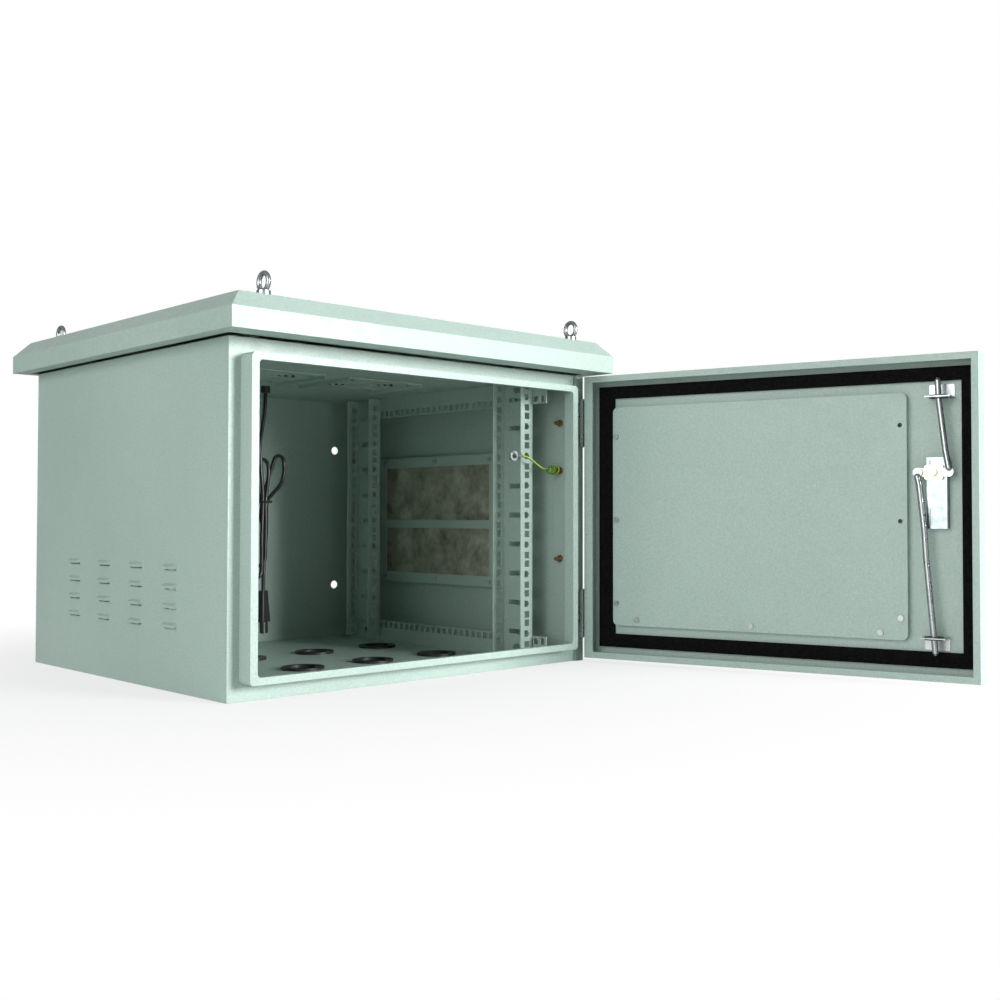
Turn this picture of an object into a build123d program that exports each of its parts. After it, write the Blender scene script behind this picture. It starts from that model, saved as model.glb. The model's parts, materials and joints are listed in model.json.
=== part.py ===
from build123d import *
import math
import os

# Outdoor rack cabinet with an open door, in millimetres.
# Origin: centre of the base's underside. +Z up, the door side faces -Y, the hinges are on the +X side.

# Cabinet body
body_width = 574.0
body_depth = 562.0
body_height = 430.0
sheet = 1.5
floor_sheet = 2.0
ceiling_underside = 422.0
fit_gap = 0.3

left_x = -body_width / 2
right_x = body_width / 2
front_y = -body_depth / 2
back_y = body_depth / 2

# Door opening and the rain lip that stands round it
opening_half_width = 261.0
opening_bottom = 29.5
opening_top = 402.0
lip_stand = 25.0
lip_edge_width = 10.0
lip_edge_height = 9.0
side_return_depth = 18.0
end_return_depth = 8.0
bar_rear_leg = 42.0
opening_corner_radius = 5.0
mitre_reach = 1.8

# Wall fixing holes
wall_hole_pitch_x = 476.0
wall_hole_pitch_z = 242.0
wall_hole_centre_z = 214.5
wall_hole_radius = 7.0

# Louvres
louvre_length = 34.0
louvre_height = 9.0
louvre_stand = 5.0
louvre_taper = 30.0
louvre_wall = 1.2
louvre_pitch_y = 94.6
louvre_pitch_z = 24.2
louvre_columns = 4
louvre_centre_y = 0.0
left_louvre_rows = 4
left_louvre_low_z = 81.0
right_louvre_rows = 3
right_louvre_lows = (140.0, 229.0)

# Rack posts and depth rails
rack_unit = 44.45
rack_units = 9
square_offset = 15.875
square_side = 9.5
post_hole_half_spacing = 232.5
post_flange = 25.5
post_depth = 64.0
post_sheet = 2.0
post_bend_radius = 2.5
post_length = 411.0
post_bottom = 9.0
post_low_hole = 32.4
front_post_set_back = 45.0
rear_post_set_forward = 67.0
post_slot_length = 40.0
post_slot_height = 7.5
rail_sheet = 2.0
rail_height = 35.0
rail_hole_from_edge = 7.0
rail_hole_pitch = 43.2
rail_first_hole = 40.0
rail_front_set_back = 17.0
rail_rear_set_forward = 45.0
rail_hole_count = 11
rail_foot_set_back = 26.0
rail_square_share = 0.9
rail_bolt_radius = 3.0
rail_bolt_head_radius = 5.5
rail_bolt_head_height = 4.0
rail_bolt_from_post_end = 9.0

# Filters
filter_frame_sheet = 1.2
filter_pad_thickness = 8.0
filter_front_y = -100.0
filter_rear_y = 175.0
filter_border = 17.0
filter_rear_border = 31.0
filter_seat = 3.0
filter_screw_radius = 3.5
filter_screw_height = 2.0
right_filter_windows = ((120.0, 197.0), (211.0, 301.0))
left_filter_windows = ((66.0, 166.0),)

# Fans
fan_side = 120.0
fan_depth = 25.0
fan_bore_radius = 57.0
fan_hub_radius = 20.0
fan_hole_half_spacing = 52.5
fan_blades = 7
fan_spacing = 176.0
fan_centre_y = -12.0
fan_cover_side = 135.0
fan_cover_flange = 6.0
fan_cover_sheet = 1.2
fan_strut_width = 6.0
fan_tip_gap = 2.0
fan_screw_radius = 2.0
fan_screw_head_radius = 4.0
fan_screw_head_height = 1.5
fan_nut_height = 3.0
fan_seat_sheet = 3.0
fan_corner_radius = 5.0
fan_blade_sheet = 1.6
fan_blade_angle = 40.0
fan_blade_root = 3.0
fan_slot_rings = 4
fan_slot_first_radius = 18.0
fan_slot_step = 10.0
fan_slot_half_width = 2.5
fan_slot_bridge = 14.0

# Roof
roof_side_overhang = 27.5
roof_front_overhang = 55.5
roof_back_overhang = 26.5
roof_skirt_bottom = 431.0
roof_skirt_height = 25.0
roof_bevel_height = 21.0
roof_bevel_inset = 18.5
roof_return = 19.0
roof_front_return = 40.0
roof_sheet = 1.5
roof_support_side = 20.0
roof_support_wall = 1.5
roof_support_x = 225.0
roof_support_y = 215.0

# Lifting eyes
eye_inset_x = 256.0
eye_front_y = -305.0
eye_back_y = 277.0
eye_ring_radius = 13.5
eye_wire_radius = 3.0
eye_collar_radius = 8.25
eye_collar_height = 6.0
eye_shank_radius = 4.0
eye_shank_length = 12.0
eye_nut_radius = 7.0
eye_nut_height = 6.0

# Hinges
hinge_offset_x = 8.0
hinge_offset_y = 10.2
hinge_length = 69.0
hinge_low_z = 36.5
hinge_high_z = 322.5
knuckle_radius = 4.5
middle_knuckle = 25.0
knuckle_gap = 0.3
hinge_leaf = 1.2
pin_radius = 2.4
pin_clearance = 0.05
pin_head_height = 2.5
pin_tail = 1.5
hinge_leaf_half = 6.0
hinge_leaf_gap = 1.0
door_leaf_depth = 20.0
hinge_rail_width = 15.0
hinge_rail_leg = 30.0
hinge_rail_front = 4.5
rest_angle = 104.1

# Door
door_width = 573.5
door_bottom = 6.4
door_top = 426.4
door_depth = 30.0
door_sheet = 1.5
door_seat_gap = 2.5
hinge_lip = 13.5
free_lip = 9.0
gasket_hinge_side = 13.0
gasket_hinge_width = 25.0
gasket_free_side = 565.0
gasket_free_width = 17.5
gasket_bottom = 22.0
gasket_bottom_width = 19.5
gasket_top = 412.0
gasket_top_width = 18.0
cover_hinge_side = 39.0
cover_free_side = 478.0
cover_bottom = 55.0
cover_top = 380.0
cover_depth = 10.0
cover_sheet = 1.2
cover_corner_radius = 8.0
cover_screw_radius = 2.0
cover_screw_head_radius = 4.0
cover_hole_radius = 3.0
cover_hole_heights = (211.0, 337.5)
cover_screw_heights = (88.0, 212.0, 336.0)
cover_screw_height = 2.2
cover_edge_inset = 9.0
cover_column_inset = 6.0
cover_row_insets = (40.0, 36.0)
cover_corner_screw_z = 84.0

# Lock
lock_s = 517.0
cam_s = 514.0
lock_z = 274.5
lock_width = 26.0
lock_low = 201.5
lock_high = 294.0
lock_inner_depth = 12.0
bezel_margin = 4.0
bezel_stand = 3.0
lock_wall = 2.5
lock_face = 3.0
lock_pad_half = 9.0
lock_pad_depth = 1.5
lock_window_heights = (9.5, 2.5)
lock_pad_heights = (4.0, 26.0)
lock_boss_wall = 3.0
lock_boss_end = 4.0
cam_radius = 20.0
cam_sheet = 2.5
cam_plate_half = 12.0
cam_plate_corner = 3.0
cam_arm_end = 5.0
cam_arm_half = 5.5
cam_arm_corner = 4.0
cam_screw_radius = 4.5
cam_screw_height = 3.0
cam_plane = 15.0
rod_plane = 8.0
cam_height = 19.0
shaft_radius = 6.0
shaft_clearance = 0.05
ear_base = 1.0
ear_height = 10.0
ear_inner = 5.0
ear_outer = 8.0
ear_inboard = 3.0
rod_radius = 4.0
rod_pivot_radius = 3.0
rod_eye_radius = 6.0
rod_eye_thickness = 3.0
upper_guide = (521.9, 371.0)
lower_guide = (514.1, 61.6)
upper_rod_path = ((534.0, 280.0), (530.0, 303.0), (521.9, 371.0), (520.9, 393.0))
lower_rod_path = (
    (494.0, 269.0),
    (496.5, 258.0),
    (502.9, 199.4),
    (504.8, 164.7),
    (514.1, 61.6),
    (516.0, 42.0),
)
rod_bend_radius = 24.0
rod_tip_length = 3.0
guide_sheet = 1.5
guide_width = 32.0
guide_height = 18.0
bush_play = 4.2
bush_wall = 1.7
bush_lip = 1.5
rod_slot_length = 24.0
handle_width = 20.0
handle_length = 62.0
handle_thickness = 7.0
handle_pivot_radius = 2.0
handle_rest_angle = 30.0
handle_pivot_out = 9.0
handle_pivot_offset = 3.0
handle_lever_start = 9.0
handle_neck_end = 12.0
handle_neck_back = 2.4
handle_neck_half = 2.7
handle_corner = 4.0
button_travel_gap = 0.4
button_length = 20.0
button_room = 4.0

# Cable entries
grommet_pitch_x = 120.0
grommet_columns = 4
grommet_front_y = -86.0
grommet_back_y = 69.0
grommet_radius = 30.0
grommet_hole_radius = 25.0
grommet_bore_radius = 20.0
grommet_lip_height = 3.5
membrane_low = 0.5
membrane_high = 2.0

# Earth connection
stud_y = 25.0
stud_heights = (153.0, 287.0, 359.0)
stud_radius = 3.0
stud_length = 12.0
stud_nut_radius = 5.5
stud_nut_height = 4.0
earth_radius = 1.5
earth_coil_radius = 7.0
earth_coil_length = 24.0
barrel_radius = 2.4
barrel_length = 8.0
ring_offset = 15.0
ring_radius = 7.5
ring_hole_radius = 4.2
ring_half_sheet = 1.0

# Power cord
cord_radius = 3.0
cord_x = 0.0
cord_y = 119.0
gland_radius = 7.0
gland_height = 10.0
hank_top = 311.0
hank_neck = 240.0
hank_neck_left = -12.0
hank_neck_right = 7.0
hank_thickness = 13.0
hank_turn = 20.9
hank_bottom = 101.0
tie_height = 4.0
tie_wall = 1.2
plug_offset = -2.4
plug_length = 49.0
plug_pin = 18.0
plug_top = (13.0, 10.0)
plug_waist = (15.0, 12.0)
plug_end = (20.0, 15.0)
plug_waist_drop = 20.0
plug_corner_radius = 2.0
plug_pin_width = 4.5
plug_pin_sheet = 1.5
plug_pin_places = ((-5.0, -3.0), (5.0, -3.0), (0.0, 4.0))


hinge_x = right_x + hinge_offset_x
hinge_y = front_y - hinge_offset_y
hinge_axis = Axis((hinge_x, hinge_y, 0), (0, 0, 1))
door_plane_y = front_y - door_seat_gap


def block(x0, x1, y0, y1, z0, z1):
    """Box between two corners, in any order along each axis."""
    size = (abs(x1 - x0), abs(y1 - y0), abs(z1 - z0))
    return Pos((x0 + x1) / 2, (y0 + y1) / 2, (z0 + z1) / 2) * Box(*size)


def rod_z(radius, x, y, z0, z1):
    """Upright cylinder."""
    return Pos(x, y, (z0 + z1) / 2) * Cylinder(radius, abs(z1 - z0))


def rod_x(radius, x0, x1, y, z):
    """Cylinder along X."""
    return Pos((x0 + x1) / 2, y, z) * Rot(0, 90, 0) * Cylinder(radius, abs(x1 - x0))


def rod_y(radius, x, y0, y1, z):
    """Cylinder along Y."""
    return Pos(x, (y0 + y1) / 2, z) * Rot(90, 0, 0) * Cylinder(radius, abs(y1 - y0))


def as_compound(shapes):
    """Several separate solids as one node."""
    return Compound(children=[s for shape in shapes for s in shape.solids()])


def save(name, shape):
    """Writes one sub-part."""
    export_step(shape, "parts/" + name + ".step")


# Shell panels

def louvre(side, y, z):
    """Pressed hood that stands out of a side wall and the cut behind it."""
    wall_x = side * body_width / 2
    turn = Rot(0, side * 90, 0)
    outer = extrude(Rectangle(louvre_height, louvre_length), louvre_stand, taper=louvre_taper)
    inner_size = (louvre_height - 2 * louvre_wall, louvre_length - 2 * louvre_wall)
    inner = extrude(Rectangle(*inner_size), louvre_stand - louvre_wall, taper=louvre_taper)
    mouth = block(
        wall_x,
        wall_x + side * (louvre_stand + sheet),
        y - louvre_length,
        y + louvre_length,
        z - louvre_height / 2 - sheet,
        z - louvre_height / 6,
    )
    hood = Pos(wall_x, y, z) * turn * outer - Pos(wall_x, y, z) * turn * inner - mouth
    slot = block(
        wall_x - side * 2 * sheet,
        wall_x,
        y - inner_size[1] / 2,
        y + inner_size[1] / 2,
        z - inner_size[0] / 2,
        z + inner_size[0] / 2,
    )
    return hood, slot


def louvre_places(rows, low_z):
    """Centres of a field of louvres on a side wall."""
    first_y = louvre_centre_y - louvre_pitch_y * (louvre_columns - 1) / 2
    return [
        (first_y + column * louvre_pitch_y, low_z + row * louvre_pitch_z)
        for column in range(louvre_columns)
        for row in range(rows)
    ]


def side_panel(side, places):
    """Side wall with its louvres."""
    outer_x = side * body_width / 2
    panel = block(outer_x, outer_x - side * sheet, front_y + sheet, back_y - sheet, 0, body_height)
    pairs = [louvre(side, y, z) for y, z in places]
    panel = panel - [slot for hood, slot in pairs]
    return panel + [hood for hood, slot in pairs]


def back_panel():
    """Rear wall with four fixing holes."""
    panel = block(left_x, right_x, back_y - sheet, back_y, 0, body_height)
    holes = [
        rod_y(wall_hole_radius, sx * wall_hole_pitch_x / 2, back_y - 2 * sheet, back_y + sheet,
              wall_hole_centre_z + sz * wall_hole_pitch_z / 2)
        for sx in (-1, 1)
        for sz in (-1, 1)
    ]
    return panel - holes


def grommet_places():
    """Centres of the cable entries."""
    first_x = -grommet_pitch_x * (grommet_columns - 1) / 2
    return [
        (first_x + column * grommet_pitch_x, y)
        for column in range(grommet_columns)
        for y in (grommet_front_y, grommet_back_y)
    ]


def floor_panel():
    """Floor sheet with a hole for each cable entry."""
    inner = right_x - sheet
    panel = block(-inner, inner, front_y + sheet, back_y - sheet, 0, floor_sheet)
    holes = [rod_z(grommet_hole_radius, x, y, -1, floor_sheet + 1) for x, y in grommet_places()]
    return panel - holes


def fan_places():
    """Fan centres in the ceiling."""
    return [(-fan_spacing / 2, fan_centre_y), (fan_spacing / 2, fan_centre_y)]


def ceiling_panel():
    """Ceiling tray with raised edges, a round hole under each fan and holes for the roof bolts."""
    inner = right_x - sheet
    back = back_y - sheet
    front = front_y + sheet
    tray = block(-inner, inner, front, back, ceiling_underside, body_height)
    hollow = block(
        -inner + sheet, inner - sheet, front + sheet, back - sheet, ceiling_underside + sheet, body_height + 1
    )
    low, high = ceiling_underside - 1, body_height + 1
    holes = [rod_z(fan_bore_radius, x, y, low, high) for x, y in fan_places()]
    holes += [rod_z(fan_screw_radius + fit_gap, x, y, low, high) for x, y in fan_screw_places()]
    holes += [rod_z(cord_radius + fit_gap, cord_x, cord_y, low, high)]
    return tray - hollow - holes


# Front frame

def rounded_prism(half_width, bottom, top, radius, y0, y1):
    """Upright rectangle with rounded corners, drawn in XZ and running along Y."""
    shape = RectangleRounded(2 * half_width, top - bottom, radius)
    solid = extrude(shape, abs(y1 - y0) / 2, both=True)
    return Pos(0, (y0 + y1) / 2, (bottom + top) / 2) * Rot(90, 0, 0) * solid


def whole_front_frame():
    """Front band, rain lip and rear legs as one folded frame, later cut at the mitres."""
    lip_half = opening_half_width + lip_edge_width
    lip_low = opening_bottom - lip_edge_height
    lip_high = opening_top + lip_edge_height
    lip_front = front_y - lip_stand
    outer_radius = opening_corner_radius + sheet
    band = block(left_x, right_x, front_y, front_y + sheet, 0, body_height)
    inner_x = right_x - sheet
    legs = block(-inner_x, inner_x, front_y + sheet, front_y + bar_rear_leg, floor_sheet, ceiling_underside)
    legs -= block(
        -inner_x + sheet, inner_x - sheet, front_y, front_y + bar_rear_leg + 1, 0, body_height
    )
    outer = rounded_prism(lip_half, lip_low, lip_high, outer_radius, lip_front, front_y + sheet)
    inside = rounded_prism(
        lip_half - sheet, lip_low + sheet, lip_high - sheet, opening_corner_radius,
        lip_front + sheet, front_y + 2 * sheet,
    )
    opening = rounded_prism(
        opening_half_width, opening_bottom, opening_top, opening_corner_radius, lip_front - 1, back_y
    )
    returns = rounded_prism(
        opening_half_width + sheet, opening_bottom - sheet, opening_top + sheet, outer_radius,
        lip_front + sheet, lip_front + side_return_depth,
    )
    trim = block(
        -opening_half_width, opening_half_width, lip_front + end_return_depth, front_y, 0, body_height
    )
    x, y = right_x - upper_guide[0], door_plane_y - rod_plane
    rod_holes = block(
        x - rod_slot_length / 2, x + rod_slot_length / 2, y - rod_radius - 1, y + rod_radius + 1,
        lip_low - 1, lip_high + 1,
    )
    return (band + legs + outer - inside) + (returns - trim) - opening - rod_holes


def mitre_prism(points):
    """Trapezoid drawn in XZ and running along Y through the whole frame."""
    face = make_face(Polyline(*points, close=True))
    solid = extrude(face, body_depth, both=True)
    return Rot(90, 0, 0) * solid


def front_bars():
    """The four bars of the front frame, parted at their mitred corners."""
    frame = whole_front_frame()

    def inward(x, z, corner_x, corner_z):
        return (x + (corner_x - x) * mitre_reach, z + (corner_z - z) * mitre_reach)

    tl, tr = (left_x, body_height), (right_x, body_height)
    bl, br = (left_x, 0), (right_x, 0)
    tl_in = inward(*tl, -opening_half_width, opening_top)
    tr_in = inward(*tr, opening_half_width, opening_top)
    bl_in = inward(*bl, -opening_half_width, opening_bottom)
    br_in = inward(*br, opening_half_width, opening_bottom)
    regions = {
        "front_top_bar": [tl, tr, tr_in, tl_in],
        "front_bottom_bar": [bl, bl_in, br_in, br],
        "front_left_bar": [tl, tl_in, bl_in, bl],
        "front_right_bar": [tr, br, br_in, tr_in],
    }
    return {name: frame & mitre_prism(points) for name, points in regions.items()}


def hinge_rail():
    """L-shaped strip outside the right front edge, to which the hinges are fixed."""
    front = front_y - hinge_rail_front
    leg = block(right_x, right_x + sheet, front, front_y + hinge_rail_leg, 0, body_height)
    flange = block(right_x, right_x + hinge_rail_width, front, front + sheet, 0, body_height)
    return leg + flange


# Roof

def roof_cap():
    """Folded roof: flat top, sloped edges, skirt and a return lip under the overhang."""
    x0, x1 = left_x - roof_side_overhang, right_x + roof_side_overhang
    y0, y1 = front_y - roof_front_overhang, back_y + roof_back_overhang
    width, depth = x1 - x0, y1 - y0
    centre = Pos((x0 + x1) / 2, (y0 + y1) / 2, 0)
    skirt_top = roof_skirt_bottom + roof_skirt_height
    top = skirt_top + roof_bevel_height

    def shell(inset):
        base = Rectangle(width - 2 * inset, depth - 2 * inset)
        box = Pos(0, 0, roof_skirt_bottom) * extrude(base, roof_skirt_height)
        shrink = 2 * inset + 2 * roof_bevel_inset
        plate = Rectangle(width - shrink, depth - shrink)
        crown = loft([Pos(0, 0, skirt_top) * base, Pos(0, 0, top - inset) * plate])
        return box + crown

    cap = shell(0) - shell(roof_sheet)
    shift = (roof_front_return - roof_return) / 2
    mouth = Pos(0, shift) * Rectangle(width - 2 * roof_return, depth - roof_return - roof_front_return)
    lip = Rectangle(width - roof_sheet, depth - roof_sheet) - mouth
    cap = cap + Pos(0, 0, roof_skirt_bottom) * extrude(lip, roof_sheet)
    cap = centre * cap
    holes = [rod_z(eye_shank_radius + fit_gap, x, y, skirt_top, top + 1) for x, y in eye_places()]
    return cap - holes


def roof_top():
    """Height of the flat top of the roof."""
    return roof_skirt_bottom + roof_skirt_height + roof_bevel_height


def eye_places():
    """Plan positions of the lifting eyes."""
    return [(sx * eye_inset_x, y) for sx in (-1, 1) for y in (eye_front_y, eye_back_y)]


def eyebolt(x, y):
    """Lifting eye with collar and shank, and its nut under the roof plate."""
    top = roof_top()
    under = top - roof_sheet
    collar = rod_z(eye_collar_radius, x, y, top, top + eye_collar_height)
    middle_radius = eye_ring_radius - eye_wire_radius
    ring_z = top + eye_collar_height + middle_radius
    ring = Pos(x, y, ring_z) * Rot(0, 90, 0) * Torus(middle_radius, eye_wire_radius)
    shank = rod_z(eye_shank_radius, x, y, top - eye_shank_length, top)
    nut = Pos(x, y, under - eye_nut_height) * extrude(RegularPolygon(eye_nut_radius, 6), eye_nut_height)
    return collar + ring + shank + nut


def roof_support(x, y):
    """Square tube that carries the roof on the ceiling tray."""
    base = ceiling_underside + sheet
    inner = roof_support_side - 2 * roof_support_wall
    section = Rectangle(roof_support_side, roof_support_side) - Rectangle(inner, inner)
    return Pos(x, y, base) * extrude(section, roof_top() - roof_sheet - base)


# Rack

def pent_hole():
    """Five-sided hole, pointed towards +X."""
    h = square_side / 2
    return make_face(Polyline((-h, -h), (h / 3, -h), (h, 0), (h / 3, h), (-h, h), close=True))


def rack_post(side, flipped):
    """Upright C-channel with its web outboard; both flanges carry the rack's hole pattern."""
    inner_x = post_hole_half_spacing - post_flange / 2
    section = Rectangle(post_flange, post_depth)
    section -= Pos(-post_sheet, 0) * Rectangle(post_flange, post_depth - 2 * post_sheet)
    corners = section.vertices().filter_by(lambda v: v.X > post_flange / 2 - 0.1)
    section = fillet(corners, post_bend_radius)
    channel = extrude(section, post_length)
    cuts = []
    for unit in range(rack_units):
        z = post_low_hole + unit * rack_unit
        cuts.append(Pos(0, 0, z) * Rot(90, 0, 0) * extrude(pent_hole(), post_depth, both=True))
        for offset in (-square_offset, square_offset):
            cuts.append(Pos(0, 0, z + offset) * Box(square_side, 2 * post_depth, square_side))
        cuts.append(Pos(post_flange / 2, 0, z) * Box(4 * post_sheet, post_slot_length, post_slot_height))
    for z in (rail_bolt_from_post_end, post_length - rail_bolt_from_post_end):
        cuts.append(rod_x(rail_bolt_radius + fit_gap, 0, post_flange, 0, z))
    channel = channel - cuts
    if flipped:
        channel = Pos(0, 0, post_length) * Rot(180, 0, 0) * channel
    channel = Pos(inner_x + post_flange / 2, 0, post_bottom) * channel
    if side < 0:
        channel = mirror(channel, Plane.YZ)
    return channel


def front_post_y():
    """Centre of the front posts."""
    return front_y + front_post_set_back + post_depth / 2


def rear_post_y():
    """Centre of the rear posts."""
    return back_y - rear_post_set_forward - post_depth / 2


def rail_x():
    """Room side of the depth rails, against the outer face of the posts."""
    return post_hole_half_spacing + post_flange / 2


def depth_rail(side, top):
    """L-section along the floor or the ceiling, with a row of square and five-sided holes."""
    y0, y1 = front_y + rail_front_set_back, back_y - rail_rear_set_forward
    x0 = rail_x()
    web = block(x0, x0 + rail_sheet, y0, y1, 0, rail_height)
    foot = block(x0, right_x - sheet - fit_gap, y0 + rail_foot_set_back, y1, 0, rail_sheet)
    hole_z = rail_height - rail_hole_from_edge
    pent = Rot(0, 90, 0) * Rot(0, 0, 180) * extrude(pent_hole(), 3 * rail_sheet, both=True)
    square = Box(6 * rail_sheet, square_side * rail_square_share, square_side)
    cuts = []
    for n in range(rail_hole_count):
        y = front_y + rail_first_hole + n * rail_hole_pitch
        cuts.append(Pos(x0, y, hole_z) * pent)
        for offset in (-rail_hole_pitch / 3, rail_hole_pitch / 3):
            if y + offset < y1 - square_side:
                cuts.append(Pos(x0, y + offset, hole_z) * square)
    bolt_z = rail_bolt_heights()[0] - floor_sheet
    if top:
        bolt_z = ceiling_underside - rail_bolt_heights()[1]
    for y in (front_post_y(), rear_post_y()):
        cuts.append(rod_x(rail_bolt_radius + fit_gap, x0 - 1, x0 + rail_sheet + 1, y, bolt_z))
    rail = (web + foot) - cuts
    if top:
        rail = Pos(0, 0, ceiling_underside) * mirror(rail, Plane.XY)
    else:
        rail = Pos(0, 0, floor_sheet) * rail
    if side < 0:
        rail = mirror(rail, Plane.YZ)
    return rail


def rail_bolt_heights():
    """Heights of the bolts that join the posts to the lower and the upper rails."""
    return (post_bottom + rail_bolt_from_post_end, post_bottom + post_length - rail_bolt_from_post_end)


def rail_bolt(side, y, z):
    """Bolt from inside a post through its web and the rail, with its nut outside."""
    web_face = rail_x() - post_sheet
    rail_face = rail_x() + rail_sheet
    height = rail_bolt_head_height
    head = rod_x(rail_bolt_head_radius, side * (web_face - height), side * web_face, y, z)
    shank = rod_x(rail_bolt_radius, side * web_face, side * rail_face, y, z)
    nut = rod_x(rail_bolt_head_radius, side * rail_face, side * (rail_face + height), y, z)
    return head + shank + nut


def rail_bolts():
    """All bolts between posts and rails."""
    return as_compound([
        rail_bolt(side, y, z)
        for side in (-1, 1)
        for y in (front_post_y(), rear_post_y())
        for z in rail_bolt_heights()
    ])


# Filters

def filter_frame(side, windows):
    """Sheet frame on the inside of a side wall, with one window for each pad."""
    wall = side * (right_x - sheet)
    stand = side * (filter_pad_thickness + filter_frame_sheet)
    low, high = windows[0][0] - filter_border, windows[-1][1] + filter_border
    y0, y1 = filter_front_y - filter_border, filter_rear_y + filter_rear_border
    frame = block(wall, wall - stand, y0, y1, low, high)
    s = side * filter_frame_sheet
    for bottom, top in windows:
        frame -= block(
            wall + s, wall - stand + s,
            filter_front_y - filter_seat, filter_rear_y + filter_seat,
            bottom - filter_seat, top + filter_seat,
        )
        frame -= block(wall, wall - 2 * stand, filter_front_y, filter_rear_y, bottom, top)
    return frame


def filter_pads():
    """Filter mats behind the windows."""
    pads = []
    for side, windows in ((1, right_filter_windows), (-1, left_filter_windows)):
        wall = side * (right_x - sheet)
        for bottom, top in windows:
            pads.append(
                block(
                    wall - side * fit_gap, wall - side * (filter_pad_thickness - fit_gap),
                    filter_front_y - filter_seat + fit_gap, filter_rear_y + filter_seat - fit_gap,
                    bottom - filter_seat + fit_gap, top + filter_seat - fit_gap,
                )
            )
    return as_compound(pads)


def filter_screws():
    """Screw heads on the filter frames."""
    heads = []
    for side, windows in ((1, right_filter_windows), (-1, left_filter_windows)):
        face = side * (right_x - sheet - filter_pad_thickness - filter_frame_sheet)
        rows = [windows[0][0] - filter_border / 2, windows[-1][1] + filter_border / 2]
        for z in rows:
            for y in (filter_front_y, (filter_front_y + filter_rear_y) / 2, filter_rear_y):
                heads.append(rod_x(filter_screw_radius, face, face - side * filter_screw_height, y, z))
    return as_compound(heads)


# Fans

def fan_screw_places():
    """Centres of the fan screws."""
    h = fan_hole_half_spacing
    return [(x + sx * h, y + sy * h) for x, y in fan_places() for sx in (-1, 1) for sy in (-1, 1)]


def fan_cover(x, y):
    """Folded cover under the ceiling with rings of curved slots, in four quarters."""
    top = ceiling_underside
    half = fan_cover_side / 2
    cover = block(x - half, x + half, y - half, y + half, top - fan_cover_flange, top)
    inner = half - fan_cover_sheet
    cover -= block(
        x - inner, x + inner, y - half - 1, y + half + 1, top - fan_cover_flange, top - fan_cover_sheet
    )
    slots = []
    for n in range(fan_slot_rings):
        radius = fan_slot_first_radius + fan_slot_step * n
        ring = Circle(radius + fan_slot_half_width) - Circle(radius - fan_slot_half_width)
        ring -= Rectangle(2 * fan_side, fan_slot_bridge) + Rectangle(fan_slot_bridge, 2 * fan_side)
        slots.append(Pos(x, y, top - 2 * fan_cover_sheet) * extrude(ring, 3 * fan_cover_sheet))
    for slot in slots:
        cover -= slot
    low = top - 2 * fan_cover_flange
    screws = [
        rod_z(fan_screw_radius + fit_gap, sx, sy, low, top + 1)
        for sx, sy in fan_screw_places()
        if abs(sx - x) < fan_side
    ]
    return cover - screws


def fan_frame(x, y):
    """Square fan housing above the ceiling, with the motor seat on four struts."""
    base = ceiling_underside + sheet
    ring = RectangleRounded(fan_side, fan_side, fan_corner_radius) - Circle(fan_bore_radius)
    frame = Pos(x, y, base) * extrude(ring, fan_depth)
    strut_length = 2 * fan_bore_radius + 2
    bars = Rectangle(strut_length, fan_strut_width) + Rectangle(fan_strut_width, strut_length)
    seat = Pos(x, y, base) * extrude(bars + Circle(fan_hub_radius), fan_seat_sheet)
    screws = [
        rod_z(fan_screw_radius + fit_gap, sx, sy, base - 1, base + fan_depth + 1)
        for sx, sy in fan_screw_places()
        if abs(sx - x) < fan_side
    ]
    return frame + seat - screws


def fan_rotor(x, y):
    """Hub with pitched blades."""
    base = ceiling_underside + sheet + fan_seat_sheet + fit_gap
    height = fan_depth - fan_seat_sheet - 4 * fit_gap
    rotor = rod_z(fan_hub_radius, x, y, base, base + height)
    span = fan_bore_radius - fan_tip_gap - fan_hub_radius + fan_blade_root
    for n in range(fan_blades):
        blade = Box(span, fan_blade_sheet, height * 1.05)
        blade = Pos(fan_hub_radius - fan_blade_root + span / 2, 0, 0) * Rot(fan_blade_angle, 0, 0) * blade
        blade = Pos(x, y, base + height / 2) * Rot(0, 0, n * 360 / fan_blades) * blade
        rotor += blade
    return rotor


def fan_screws():
    """Screws that hold each fan and its cover to the ceiling."""
    screws = []
    top = ceiling_underside + sheet + fan_depth
    low = ceiling_underside - fan_cover_sheet
    for x, y in fan_screw_places():
        head = rod_z(fan_screw_head_radius, x, y, low - fan_screw_head_height, low)
        nut = rod_z(fan_screw_head_radius, x, y, top, top + fan_nut_height)
        screws.append(head + rod_z(fan_screw_radius, x, y, low, top) + nut)
    return as_compound(screws)


# Cable entries

def grommet(x, y):
    """Rubber ring clipped round the edge of its hole, closed by a thin membrane."""
    profile = Circle(grommet_radius) - Circle(grommet_bore_radius)
    top = Pos(x, y, floor_sheet) * extrude(profile, grommet_lip_height)
    neck = Circle(grommet_hole_radius) - Circle(grommet_bore_radius)
    web = Pos(x, y, 0) * extrude(neck, floor_sheet)
    membrane = rod_z(grommet_bore_radius, x, y, membrane_low, membrane_high)
    return top + web + membrane


# Earth connection

def earth_studs():
    """Copper weld studs with nuts on the right front bar's rear leg."""
    wall = right_x - 2 * sheet
    y = front_y + stud_y
    studs = []
    for z in stud_heights:
        length = stud_nut_height if z == earth_z else stud_length
        stud = rod_x(stud_radius, wall, wall - length, y, z)
        nut = Pos(wall - stud_nut_height / 2, y, z) * Rot(0, 90, 0) * extrude(
            RegularPolygon(stud_nut_radius, 6), stud_nut_height / 2, both=True
        )
        studs.append(stud + nut)
    return as_compound(studs)


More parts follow.
